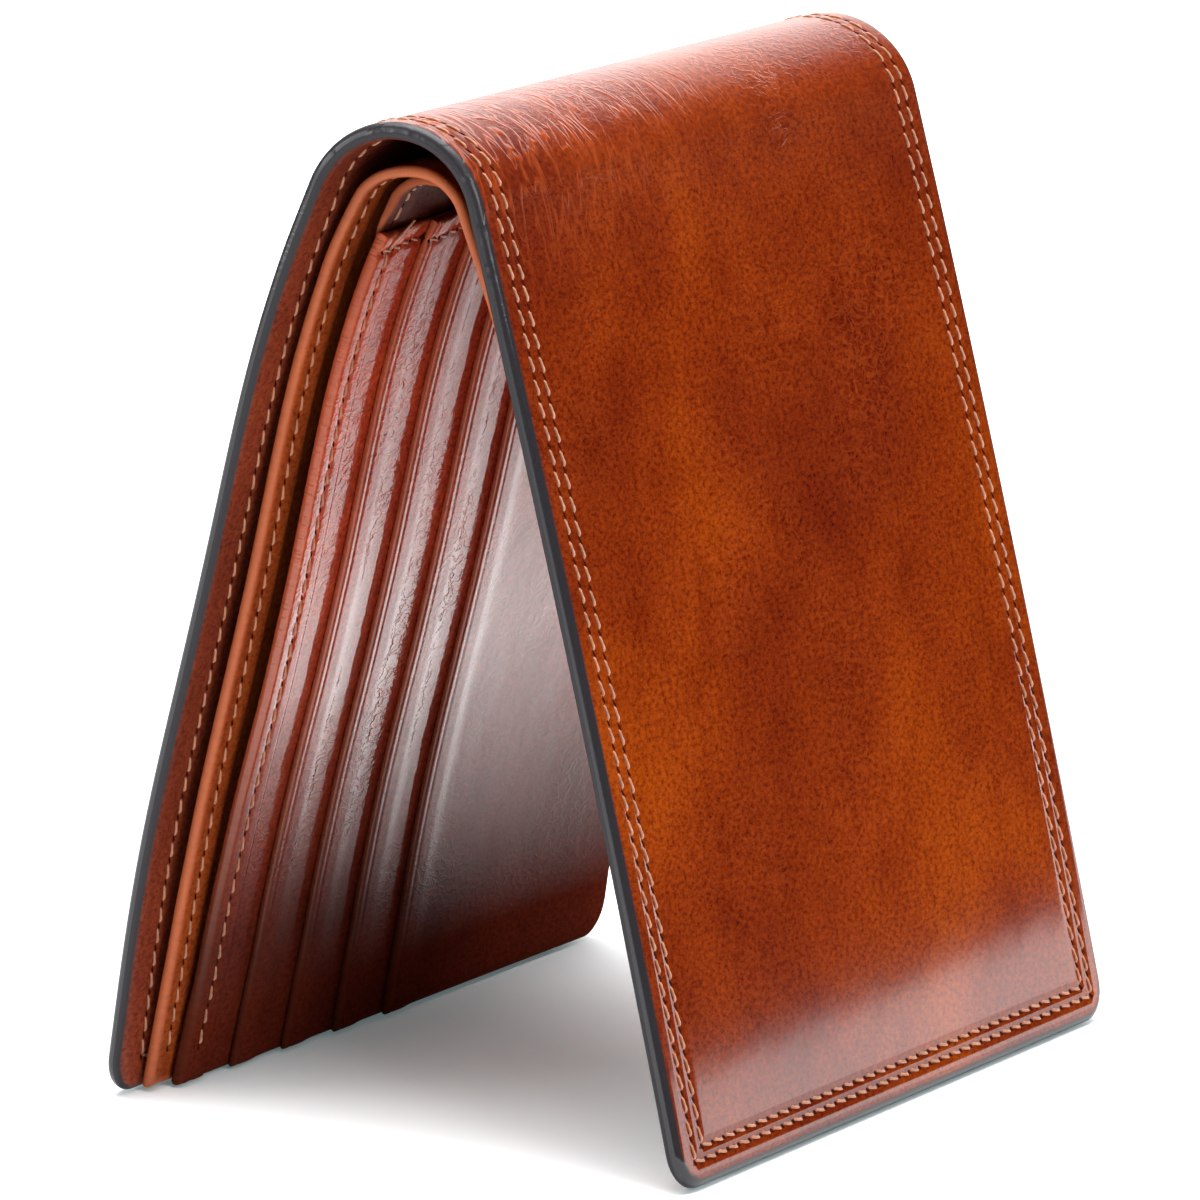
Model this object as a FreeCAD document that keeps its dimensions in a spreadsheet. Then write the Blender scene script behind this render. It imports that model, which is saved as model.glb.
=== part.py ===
"""Bifold wallet standing on its two free ends like a tent, in millimetres.

The fold runs along Y and the note compartments open towards -Y.  The outer
skin is a half round crown over the fold with one bowed leaf on each side.
Every inner layer is an offset of that skin, measured from its outer face.
Pieces are drawn in a profile frame (x across, y up, z along the fold towards
the opening) and each is then stood upright by its own Placement.
"""
import FreeCAD, Part
import os

os.makedirs("parts", exist_ok=True)
doc = FreeCAD.newDocument("bifold_wallet")

# ---------------------------------------------------------------- dimensions
# Lengths in mm and angles in degrees.  A "turn" is measured from straight up.
DIMENSIONS = [
    ("WalletWidth", "98", "from the opening edge to the sewn edge"),
    ("CrownRadius", "10.3", "outer radius of the fold"),
    ("CrownX", "-4.18", "fold centre line, sideways"),
    ("CrownHeight", "94.8", "fold centre line, above the table"),
    ("LeftTurn", "73.1", "where the crown meets the left leaf"),
    ("RightTurn", "72.4", "where the crown meets the right leaf"),
    ("LeftBow", "540", "radius of the bowed left leaf"),
    ("RightBow", "2100", "radius of the bowed right leaf"),
    ("LeftBowTurn", "12", "length of the left leaf as an angle, before trimming"),
    ("RightBowTurn", "3.2", "length of the right leaf as an angle, before trimming"),
    ("CornerRadius", "4", "rounded corners at the free ends"),
    ("InnerLift", "0.3", "how far the inner layers stop above the table"),
    ("CoverThickness", "1.0", "outer leather"),
    ("LiningDepth", "1.02", "depth of a layer is measured from the outer face"),
    ("LiningThickness", "0.78", ""),
    ("DividerDepth", "2.6", "sheet between the two note compartments"),
    ("DividerThickness", "1.0", ""),
    ("WallDepth", "4.6", "inner wall of the note compartment"),
    ("WallThickness", "0.6", ""),
    ("PanelDepth", "5.25", "panel that carries the card pockets"),
    ("PanelThickness", "0.6", ""),
    ("PocketDepth", "5.9", "first card pocket"),
    ("PocketThickness", "0.55", ""),
    ("PocketRise", "0.6", "each pocket lies this much above the one before"),
    ("DividerInset", "4.4", "inset of the opening edge of each layer"),
    ("PanelInset", "7.8", ""),
    ("FirstPocketInset", "18.2", ""),
    ("PocketPitch", "10", "spacing of the card slots"),
    ("PocketReach", "50", "how far a hidden pocket flap runs below its slot"),
    ("StackDrop", "4.2", "fold side of the card pockets below the crown"),
    ("SpineShellTurn", "33.7", "outer skin: last turn of the spine part"),
    ("LeafShellTurn", "38.7", "outer skin: first turn of the leaf part"),
    ("SpineDividerTurn", "28", ""),
    ("LeafDividerTurn", "42", ""),
    ("SpineWallTurn", "24", ""),
    ("LeafWallTurn", "47", ""),
    ("ThreadGap", "0.02", "clearance between thread and leather"),
    ("ThreadThickness", "0.15", ""),
    ("ThreadWidth", "0.5", ""),
    ("OuterRow", "3.2", "outer stitch row to the long edges"),
    ("OuterRowEnd", "2.9", "outer stitch row to the free end"),
    ("InnerRow", "5.2", "inner stitch row to the long edges"),
    ("InnerRowEnd", "4.2", "inner stitch row to the free end"),
    ("HemRow", "2.4", "stitch row to a turned hem"),
    ("SideRow", "2.2", "cross stitch row to the fold side of the pockets"),
]

dims = doc.addObject("Spreadsheet::Sheet", "Dims")
for row, (alias, value, note) in enumerate(DIMENSIONS, 1):
    dims.set("A%d" % row, alias)
    dims.set("B%d" % row, value)
    dims.set("C%d" % row, note)
    dims.setAlias("B%d" % row, alias)
doc.recompute()

NEAR = "(-Dims.WalletWidth / 2)"
FAR = "(Dims.WalletWidth / 2)"
CROWN = ("Dims.CrownX", "Dims.CrownHeight")
POCKETS = 4

finished = []


# ------------------------------------------------------------ basic elements
def cylinder(name, centre, radius, near, far, start="0", sweep="360"):
    """Cylinder or slice of one; its axis runs along the fold."""
    drum = doc.addObject("Part::Cylinder", name)
    drum.Placement.Rotation = FreeCAD.Rotation(FreeCAD.Vector(0, 0, 1), 30)
    drum.setExpression("Radius", radius)
    drum.setExpression("Height", "%s - %s" % (far, near))
    drum.setExpression("Angle", sweep)
    drum.setExpression("Placement.Base.x", centre[0])
    drum.setExpression("Placement.Base.y", centre[1])
    drum.setExpression("Placement.Base.z", "-%s" % far)
    drum.setExpression("Placement.Rotation.Angle", start)
    return drum


def block(name, low, high, near, far):
    """Wide box between two heights, used as a cutting tool."""
    box = doc.addObject("Part::Box", name)
    box.setExpression("Length", "4 * Dims.WalletWidth")
    box.setExpression("Width", "%s - %s" % (high, low))
    box.setExpression("Height", "%s - %s" % (far, near))
    box.setExpression("Placement.Base.x", "-2 * Dims.WalletWidth")
    box.setExpression("Placement.Base.y", low)
    box.setExpression("Placement.Base.z", "-%s" % far)
    return box


def combine(kind, name, base, tool):
    """Cut or Fuse of two elements."""
    result = doc.addObject(kind, name)
    result.Base = base
    result.Tool = tool
    return result


def ring(name, centre, outer, thickness, start, sweep, near, far):
    """Slice of a tube wall."""
    body = cylinder(name + "_body", centre, outer, near, far, start, sweep)
    inner = "%s - %s" % (outer, thickness)
    core = cylinder(name + "_core", centre, inner, "(%s - 1)" % near, "(%s + 1)" % far)
    return combine("Part::Cut", name, body, core)


def finish(node, part):
    """Give a finished piece its name and stand it upright."""
    part.Label = node
    part.Placement = FreeCAD.Placement(
        FreeCAD.Vector(0, 0, 0),
        FreeCAD.Rotation(FreeCAD.Vector(1, 0, 0), 90))
    finished.append(part)


# ------------------------------------------------------------- wallet shapes
def slice_start(side, first, last):
    """Start angle of a slice that runs between two turns."""
    if side == "Right":
        return "90 - %s" % last
    return "90 + %s" % first


def crown_slice(side, name, depth, thickness, first, last, near, far):
    """Part of a layer that follows the crown."""
    return ring(
        name, CROWN, "Dims.CrownRadius - %s" % depth, thickness,
        slice_start(side, first, last), "%s - %s" % (last, first), near, far)


def bow_centre(side):
    """Centre of the bowed leaf, so that it leaves the crown smoothly."""
    sign = "-" if side == "Right" else "+"
    reach = "(Dims.%sBow - Dims.CrownRadius)" % side
    across = "Dims.CrownX %s %s * sin(Dims.%sTurn)" % (sign, reach, side)
    upright = "Dims.CrownHeight - %s * cos(Dims.%sTurn)" % (reach, side)
    return across, upright


def bow_slice(side, name, depth, thickness, drop, near, far):
    """Part of a layer that follows the leaf, from a drop below the crown."""
    skipped = "%s / Dims.%sBow * 180 / pi" % (drop, side)
    first = "(Dims.%sTurn + %s)" % (side, skipped)
    last = "(Dims.%sTurn + Dims.%sBowTurn)" % (side, side)
    return ring(
        name, bow_centre(side), "Dims.%sBow - %s" % (side, depth), thickness,
        slice_start(side, first, last), "%s - %s" % (last, first), near, far)


def shoulder_layer(side, name, depth, thickness, first, near, far):
    """Leaf layer that starts on the crown."""
    last = "Dims.%sTurn" % side
    top = crown_slice(side, name + "_top", depth, thickness, first, last, near, far)
    leaf = bow_slice(side, name + "_leaf", depth, thickness, "0", near, far)
    return combine("Part::Fuse", name + "_whole", top, leaf)


def trim(name, layer, level):
    """Level off the free end of a leaf layer."""
    waste = block(name + "_waste", "-Dims.WalletWidth", level, NEAR, FAR)
    return combine("Part::Cut", name + "_trimmed", layer, waste)


def corner_tool(name, level, edge):
    """Waste outside a rounded corner at the near or far long edge."""
    sign = "-" if edge == FAR else "+"
    middle = "(%s %s Dims.CornerRadius)" % (edge, sign)
    near, far = (middle, "(%s + 1)" % edge) if edge == FAR else ("(%s - 1)" % edge, middle)
    square = block(name + "_square", "(%s - 1)" % level, "(%s + Dims.CornerRadius)" % level, near, far)
    rod = doc.addObject("Part::Cylinder", name + "_rod")
    rod.Placement.Rotation = FreeCAD.Rotation(FreeCAD.Vector(0, 1, 0), 90)
    rod.setExpression("Radius", "Dims.CornerRadius")
    rod.setExpression("Height", "4 * Dims.WalletWidth")
    rod.setExpression("Placement.Base.x", "-2 * Dims.WalletWidth")
    rod.setExpression("Placement.Base.y", "%s + Dims.CornerRadius" % level)
    rod.setExpression("Placement.Base.z", "-%s" % middle)
    return combine("Part::Cut", name, square, rod)


def round_corners(name, layer, level, edges):
    """Round the corners of a free end at the given long edges."""
    for number, edge in enumerate(edges, 1):
        tool = corner_tool("%s_corner_%d" % (name, number), level, edge)
        layer = combine("Part::Cut", "%s_rounded_%d" % (name, number), layer, tool)
    return layer


# ---------------------------------------------------------- leather, spine
def spine_layer(node, depth, thickness, turn, inset):
    """Middle part of a sheet that crosses the fold."""
    near = "(%s + %s)" % (NEAR, inset)
    layer = ring(
        node + "_arch", CROWN, "Dims.CrownRadius - %s" % depth, thickness,
        "90 - %s" % turn, "2 * %s" % turn, near, FAR)
    finish(node, layer)


spine_layer("spine_cover", "0", "Dims.CoverThickness", "Dims.SpineShellTurn", "0")
spine_layer("spine_cover_lining", "Dims.LiningDepth", "Dims.LiningThickness",
            "Dims.SpineShellTurn", "0")
spine_layer("spine_divider", "Dims.DividerDepth", "Dims.DividerThickness",
            "Dims.SpineDividerTurn", "Dims.DividerInset")
spine_layer("spine_inner_wall", "Dims.WallDepth", "Dims.WallThickness",
            "Dims.SpineWallTurn", "Dims.PanelInset")


# --------------------------------------------------------- leather, leaves
def leaf_shell(side, node, depth, thickness):
    """Outer skin or its lining: reaches the table, both corners rounded."""
    layer = shoulder_layer(side, node, depth, thickness, "Dims.LeafShellTurn", NEAR, FAR)
    layer = trim(node, layer, "0")
    finish(node, round_corners(node, layer, "0", [NEAR, FAR]))


def leaf_sheet(side, node, depth, thickness, first, inset):
    """Inner sheet that crosses the fold: rounded at the sewn edge only."""
    near = "(%s + %s)" % (NEAR, inset)
    layer = shoulder_layer(side, node, depth, thickness, first, near, FAR)
    layer = trim(node, layer, "Dims.InnerLift")
    finish(node, round_corners(node, layer, "Dims.InnerLift", [FAR]))


def leaf_patch(side, node, depth, thickness, inset, reach):
    """Panel or pocket that starts below the crown."""
    near = "(%s + %s)" % (NEAR, inset)
    far = FAR if reach is None else "(%s + %s)" % (near, reach)
    layer = bow_slice(side, node + "_leaf", depth, thickness, "Dims.StackDrop", near, far)
    layer = trim(node, layer, "Dims.InnerLift")
    if reach is None:
        layer = round_corners(node, layer, "Dims.InnerLift", [FAR])
    finish(node, layer)


def pocket_depth(number):
    """Depth of the hidden face of a card pocket, numbered from 1."""
    return "(Dims.PocketDepth + %d * Dims.PocketRise)" % (number - 1)


def pocket_inset(number):
    """Inset of the slot edge of a card pocket, numbered from 1."""
    return "(Dims.FirstPocketInset + %d * Dims.PocketPitch)" % (number - 1)


for side in ("Left", "Right"):
    prefix = side.lower() + "_"
    leaf_shell(side, prefix + "cover", "0", "Dims.CoverThickness")
    leaf_shell(side, prefix + "cover_lining", "Dims.LiningDepth", "Dims.LiningThickness")
    leaf_sheet(side, prefix + "divider", "Dims.DividerDepth", "Dims.DividerThickness",
               "Dims.LeafDividerTurn", "Dims.DividerInset")
    leaf_sheet(side, prefix + "inner_wall", "Dims.WallDepth", "Dims.WallThickness",
               "Dims.LeafWallTurn", "Dims.PanelInset")
    leaf_patch(side, prefix + "top_panel", "Dims.PanelDepth", "Dims.PanelThickness",
               "Dims.PanelInset", None)
    for number in range(1, POCKETS + 1):
        reach = None if number == POCKETS else "Dims.PocketReach"
        leaf_patch(side, prefix + "card_pocket_%d" % number, pocket_depth(number),
                   "Dims.PocketThickness", pocket_inset(number), reach)


# -------------------------------------------------------------- thread rows
OUTSIDE = "(-Dims.ThreadGap - Dims.ThreadThickness)"


def run(place):
    """Both sides of a thread run at a place along the fold."""
    return ("(%s - Dims.ThreadWidth / 2)" % place, "(%s + Dims.ThreadWidth / 2)" % place)


def under(depth, thickness):
    """Depth of a thread that lies on the hidden face of a layer."""
    return "(%s + %s + Dims.ThreadGap)" % (depth, thickness)


def spine_thread(node, depth, turn, place):
    """Thread run over or under the crown."""
    near, far = run(place)
    layer = ring(
        node + "_run", CROWN, "Dims.CrownRadius - %s" % depth, "Dims.ThreadThickness",
        "90 - %s" % turn, "2 * %s" % turn, near, far)
    finish(node, layer)


def edge_thread(side, node, row):
    """Thread around the long edges and the free end of a leaf."""
    near = "(%s + Dims.%s - Dims.ThreadWidth / 2)" % (NEAR, row)
    far = "(%s - Dims.%s + Dims.ThreadWidth / 2)" % (FAR, row)
    level = "(Dims.%sEnd - Dims.ThreadWidth / 2)" % row
    layer = shoulder_layer(side, node, OUTSIDE, "Dims.ThreadThickness",
                           "Dims.LeafShellTurn", near, far)
    layer = trim(node, layer, level)
    middle = block(node + "_middle", "(%s + Dims.ThreadWidth)" % level, "2 * Dims.WalletWidth",
                   "(%s + Dims.ThreadWidth)" % near, "(%s - Dims.ThreadWidth)" % far)
    finish(node, combine("Part::Cut", node + "_frame", layer, middle))


def divider_hem_thread(side, node):
    """Thread along the turned edge of the divider."""
    near, far = run("(%s + Dims.DividerInset + Dims.HemRow)" % NEAR)
    depth = under("Dims.DividerDepth", "Dims.DividerThickness")
    layer = shoulder_layer(side, node, depth, "Dims.ThreadThickness",
                           "Dims.LeafDividerTurn", near, far)
    finish(node, trim(node, layer, "Dims.OuterRow"))


def panel_hem_thread(side, node):
    """Thread along the turned edge of the pocket panel."""
    near, far = run("(%s + Dims.PanelInset + Dims.HemRow)" % NEAR)
    depth = under("Dims.PanelDepth", "Dims.PanelThickness")
    layer = bow_slice(side, node + "_leaf", depth, "Dims.ThreadThickness",
                      "Dims.StackDrop", near, far)
    finish(node, trim(node, layer, "Dims.OuterRow"))


def cross_slice(side, name, depth, thickness, near, far):
    """Short piece of the cross row on the fold side of the pockets."""
    drop = "(Dims.StackDrop + Dims.SideRow)"
    first = "(Dims.%sTurn + %s / Dims.%sBow * 180 / pi)" % (side, drop, side)
    sweep = "Dims.ThreadWidth / Dims.%sBow * 180 / pi" % side
    last = "(%s + %s)" % (first, sweep)
    return ring(name, bow_centre(side), "Dims.%sBow - %s" % (side, depth), thickness,
                slice_start(side, first, last), sweep, near, far)


def pocket_side_thread(side, node):
    """Cross row that climbs over the panel and each card pocket in turn."""
    start = "(%s + Dims.PanelInset + Dims.HemRow + Dims.ThreadWidth)" % NEAR
    level = under("Dims.PanelDepth", "Dims.PanelThickness")
    whole = None
    for number in range(1, POCKETS + 1):
        slot = "(%s + %s - Dims.ThreadGap)" % (NEAR, pocket_inset(number))
        above = under(pocket_depth(number), "Dims.PocketThickness")
        flat = cross_slice(side, "%s_flat_%d" % (node, number), level,
                           "Dims.ThreadThickness", start, slot)
        climb = "(%s - %s + Dims.ThreadThickness)" % (above, level)
        step = cross_slice(side, "%s_step_%d" % (node, number), level, climb,
                           "(%s - Dims.ThreadThickness)" % slot, slot)
        pair = combine("Part::Fuse", "%s_pair_%d" % (node, number), flat, step)
        whole = pair if whole is None else combine(
            "Part::Fuse", "%s_join_%d" % (node, number), whole, pair)
        start = "(%s - Dims.ThreadThickness)" % slot
        level = above
    last = cross_slice(side, node + "_last", level, "Dims.ThreadThickness",
                       start, "(%s - Dims.OuterRow)" % FAR)
    finish(node, combine("Part::Fuse", node + "_all", whole, last))


for name, row in (("outer", "OuterRow"), ("inner", "InnerRow")):
    spine_thread("spine_%s_seam_near" % name, OUTSIDE, "Dims.SpineShellTurn",
                 "(%s + Dims.%s)" % (NEAR, row))
    spine_thread("spine_%s_seam_far" % name, OUTSIDE, "Dims.SpineShellTurn",
                 "(%s - Dims.%s)" % (FAR, row))
    edge_thread("Left", "left_%s_seam" % name, row)
    edge_thread("Right", "right_%s_seam" % name, row)

spine_thread("spine_divider_hem_seam", under("Dims.DividerDepth", "Dims.DividerThickness"),
             "Dims.SpineDividerTurn", "(%s + Dims.DividerInset + Dims.HemRow)" % NEAR)
spine_thread("spine_inner_wall_hem_seam", under("Dims.WallDepth", "Dims.WallThickness"),
             "Dims.SpineWallTurn", "(%s + Dims.PanelInset + Dims.HemRow)" % NEAR)

for side in ("Left", "Right"):
    prefix = side.lower() + "_"
    divider_hem_thread(side, prefix + "divider_hem_seam")
    panel_hem_thread(side, prefix + "panel_hem_seam")
    pocket_side_thread(side, prefix + "pocket_side_seam")

# ---------------------------------------------------------- check and export
doc.recompute()
for item in doc.Objects:
    if "Invalid" in item.State or "Error" in item.State:
        raise RuntimeError("bad object state: %s %s" % (item.Name, item.State))

for part in finished:
    shape = part.Shape
    if shape.isNull() or not shape.isValid() or len(shape.Solids) != 1:
        raise RuntimeError("bad shape: %s" % part.Label)
    shape.exportStep("parts/%s.step" % part.Label)
    box = shape.BoundBox
    print("%-28s x %7.2f %7.2f  y %7.2f %7.2f  z %7.2f %7.2f  vol %9.2f" % (
        part.Label, box.XMin, box.XMax, box.YMin, box.YMax, box.ZMin, box.ZMax, shape.Volume))
print("pieces", len(finished))
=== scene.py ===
"""Bifold wallet standing like a tent: leather sheets, hems, stitches, camera and light.

Every piece is drawn flat first.  A flat point has three numbers in mm: the
distance s from the fold line along the outer skin, the distance v from the
opening edge, and the depth under the outer face.  place() bends flat points
into the standing wallet.
"""

import math

import bpy
import numpy as np
from mathutils import Matrix, Vector

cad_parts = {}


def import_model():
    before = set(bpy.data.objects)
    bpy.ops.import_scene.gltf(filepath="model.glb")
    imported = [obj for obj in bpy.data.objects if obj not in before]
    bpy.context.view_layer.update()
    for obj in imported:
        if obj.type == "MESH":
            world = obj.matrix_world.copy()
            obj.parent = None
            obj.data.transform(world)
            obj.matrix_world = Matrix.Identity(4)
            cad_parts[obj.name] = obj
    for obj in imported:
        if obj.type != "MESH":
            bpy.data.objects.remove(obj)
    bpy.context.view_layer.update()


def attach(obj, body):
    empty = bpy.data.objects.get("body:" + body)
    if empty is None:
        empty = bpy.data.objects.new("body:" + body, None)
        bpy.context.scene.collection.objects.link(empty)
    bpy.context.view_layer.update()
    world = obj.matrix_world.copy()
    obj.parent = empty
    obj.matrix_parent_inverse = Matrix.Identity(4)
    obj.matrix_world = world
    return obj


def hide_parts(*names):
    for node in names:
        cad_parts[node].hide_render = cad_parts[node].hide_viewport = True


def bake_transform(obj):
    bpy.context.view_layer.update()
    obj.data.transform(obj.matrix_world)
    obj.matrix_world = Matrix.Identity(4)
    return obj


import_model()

# ------------------------------------------------------------ wallet profile
# Lengths are in mm.  Each side is an arc over the fold, then a long shallow bow.
CROWN_RADIUS = 10.3
CROWN_X = -4.18
CROWN_Z = 94.8
WIDTH = 98.0
SIGN = {"left": -1.0, "right": 1.0}
TURN = {"left": math.radians(73.1), "right": math.radians(72.4)}
BOW = {"left": 540.0, "right": 2100.0}
CORNER = 4.0

# ------------------------------------------------- layout of layers and rows
# Insets are from the opening edge.  The pocket stack starts at STACK_START.
DIVIDER_INSET = 4.4
PANEL_INSET = 7.8
SLOT_INSET = 18.2
SLOT_PITCH = 10.0
POCKETS = (1, 2, 3, 4)
POCKET_HEIGHT = 50
STACK_START = 17.3
SIDE_ROW = STACK_START + 2.2
HEM_WIDTH = 4.6
HEM_ROW = 2.4
HEM_ROW_END = 4.5
# Each row around a leaf: distance from the long edges, distance from the table.
ROWS = {"outer": (3.2, 2.9), "inner": (5.2, 4.2)}
LINING_ROW = (4.5, 3.6)


def free_end(side):
    """Distance from the fold line to the table along the outer skin."""
    centre = CROWN_Z - (BOW[side] - CROWN_RADIUS) * math.cos(TURN[side])
    last = math.acos(-centre / BOW[side])
    return CROWN_RADIUS * TURN[side] + BOW[side] * (last - TURN[side])


END = {side: free_end(side) for side in SIGN}

# The free ends are cut back a little, so that no layer dips under the table.
SHELL_END = {"left": END["left"] - 0.09, "right": END["right"] - 0.26}
INNER_END = {"left": END["left"] - 0.6, "right": END["right"] - 1.5}


def smooth(t):
    """Smooth step from 0 to 1."""
    t = np.clip(t, 0, 1)
    return t * t * (3 - 2 * t)


def ridge(x, half):
    """1 on a line and 0 beside it."""
    return np.exp(-(x / half) ** 2)


def plump(side, arc):
    """How far a leaf bulges out past its plain bow."""
    if side == "right":
        return np.zeros_like(arc)
    near_fold = 1.1 * ridge(arc - 30, 20)
    near_table = 0.6 * ridge(arc - 88, 20)
    return (near_fold + near_table) * smooth(arc / 22)


def place(side, s, v, depth):
    """Bends flat points into the wallet.  A negative s lies on the other side."""
    s, v, depth = np.broadcast_arrays(np.asarray(s, float), v, depth)
    other = "left" if side == "right" else "right"
    points = np.empty(s.shape + (3,))
    for name, mask in ((side, s >= 0), (other, s < 0)):
        arc = np.abs(s[mask])
        crown_arc = CROWN_RADIUS * TURN[name]
        on_crown = arc <= crown_arc
        turn = np.where(on_crown, arc / CROWN_RADIUS, TURN[name] + (arc - crown_arc) / BOW[name])
        reach = BOW[name] - CROWN_RADIUS
        centre_x = np.where(on_crown, 0, -reach * math.sin(TURN[name]))
        centre_z = np.where(on_crown, CROWN_Z, CROWN_Z - reach * math.cos(TURN[name]))
        radius = np.where(on_crown, CROWN_RADIUS, BOW[name]) + plump(name, arc) - depth[mask]
        points[mask, 0] = CROWN_X + SIGN[name] * (centre_x + radius * np.sin(turn))
        points[mask, 1] = v[mask] - WIDTH / 2
        points[mask, 2] = centre_z + radius * np.cos(turn)
    return points / 1000


# ---------------------------------------------------------- depth of layers
# At the opening edge the layers fan out; FAN_LENGTH further on they lie flat.
SPACING = 0.5
SAMPLES = np.arange(-120, 120.01, SPACING)
BLUR = 1.5
BLUR_STEPS = 30
FAN_START = 6
FAN_LENGTH = 72
WALL_STEP = 0.65
PANEL_STEP = 0.62
POCKET_STEP = 0.58


def depth_table(knots):
    """Smooth depth of a layer over the whole skin from (s, depth) knots, left side negative."""
    places, depths = zip(*knots)
    values = np.interp(SAMPLES, places, depths)
    offsets = np.arange(-BLUR_STEPS, BLUR_STEPS + 1) * SPACING
    weights = np.exp(-0.5 * (offsets / BLUR) ** 2)
    padded = np.pad(values, BLUR_STEPS, mode="edge")
    return np.convolve(padded, weights / weights.sum(), mode="valid")


DIVIDER_OPEN = depth_table([
    (-113, 2.1), (-98, 3.0), (-87, 3.3), (-57, 3.2), (-35, 2.9), (-20, 2.8), (-14, 3.2),
    (-9.7, 4.0), (-4.6, 4.9), (0, 5.1), (7, 4.9), (13, 4.4), (22, 3.4), (30, 2.7), (42, 2.1),
    (115, 2.0)])
WALL_OPEN = depth_table([
    (-113, 3.2), (-100, 4.6), (-87, 5.3), (-69, 5.8), (-56, 5.75), (-35, 5.4), (-24, 5.35),
    (-14, 5.7), (-8, 6.1), (0, 6.6), (7, 6.3), (13, 5.7), (22, 4.7), (30, 4.0), (42, 3.35),
    (115, 3.2)])


def layer_depth(table, sewn, side, s, v):
    """Depth of a layer that is sewn down at the far edge and opens towards -Y."""
    opened = np.interp(SIGN[side] * np.asarray(s, float), SAMPLES, table)
    share = (1 - np.clip((np.asarray(v, float) - FAN_START) / FAN_LENGTH, 0, 1)) ** 1.25
    return sewn + (opened - sewn) * share


def divider_depth(side, s, v):
    """Depth of the outer face of the divider."""
    return layer_depth(DIVIDER_OPEN, 1.9, side, s, v)


def wall_depth(side, s, v):
    """Depth of the outer face of the inner wall."""
    return layer_depth(WALL_OPEN, 3.0, side, s, v)


def panel_depth(side, s, v):
    """Depth of the outer face of the pocket panel."""
    return wall_depth(side, s, v) + WALL_STEP


def pocket_depth(number, side, s, v):
    """Depth of the hidden face of a pocket."""
    return panel_depth(side, s, v) + PANEL_STEP + POCKET_STEP * (number - 1)


# --------------------------------------------------------------- mesh sheets
GROOVE_HALF = 0.42
CROWN_BAND = (0, 16, 0.6)
ROUND_STEPS = np.array([0, 0.04, 0.14, 0.3, 0.5, 0.75, 1.05, 1.5])
BAND_REACH = 1.6
CORNER_STEPS = np.array([1.6, 2.2, 3.0, 4.0])


def fill_lines(first, last, step, fine):
    """Grid lines with a coarse step and finer bands (centre, half width, step)."""
    lines = list(np.linspace(first, last, max(2, int((last - first) / step) + 1)))
    for centre, half, small in fine:
        low, high = max(first, centre - half), min(last, centre + half)
        if high <= low:
            continue
        lines = [x for x in lines if x < low - 1e-6 or x > high + 1e-6]
        lines += list(np.linspace(low, high, max(2, int(round((high - low) / small)) + 1)))
    lines = sorted(lines)
    kept = [lines[0]]
    for x in lines[1:]:
        if x - kept[-1] > 0.04:
            kept.append(x)
    kept[-1] = last
    return np.array(kept)


def edge_band(edge, inwards, radius):
    """Grid lines that make the round edge of a sheet."""
    return edge + inwards * radius * ROUND_STEPS


def stitch_groove(row, side, s, v):
    """Share of the groove pressed by a stitch row around a leaf."""
    along_edge, along_end = row
    end = END[side] - along_end
    near = ridge(v - along_edge, GROOVE_HALF) * (s < end)
    far = ridge(v - WIDTH + along_edge, GROOVE_HALF) * (s < end)
    across = ridge(s - end, GROOVE_HALF) * (v > along_edge) * (v < WIDTH - along_edge)
    return np.maximum(np.maximum(near, far), across)


def make_object(name, verts, faces, materials):
    """Mesh object from arrays, smooth shaded."""
    mesh = bpy.data.meshes.new(name)
    mesh.from_pydata(verts.tolist(), [], faces)
    mesh.polygons.foreach_set("use_smooth", np.ones(len(mesh.polygons), bool))
    obj = bpy.data.objects.new(name, mesh)
    bpy.context.scene.collection.objects.link(obj)
    for material in materials:
        mesh.materials.append(material)
    return obj


def add_uv(mesh, uv):
    """UV map from one (u, v) pair per vertex."""
    layer = mesh.uv_layers.new(name="UVMap")
    corner = np.empty(len(mesh.loops), np.int32)
    mesh.loops.foreach_get("vertex_index", corner)
    layer.data.foreach_set("uv", uv[corner].astype(np.float32).ravel())


def add_mark(mesh, name, values):
    """Float attribute on the vertices."""
    attribute = mesh.attributes.new(name, "FLOAT", "POINT")
    attribute.data.foreach_set("value", values.astype(np.float32))


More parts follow.
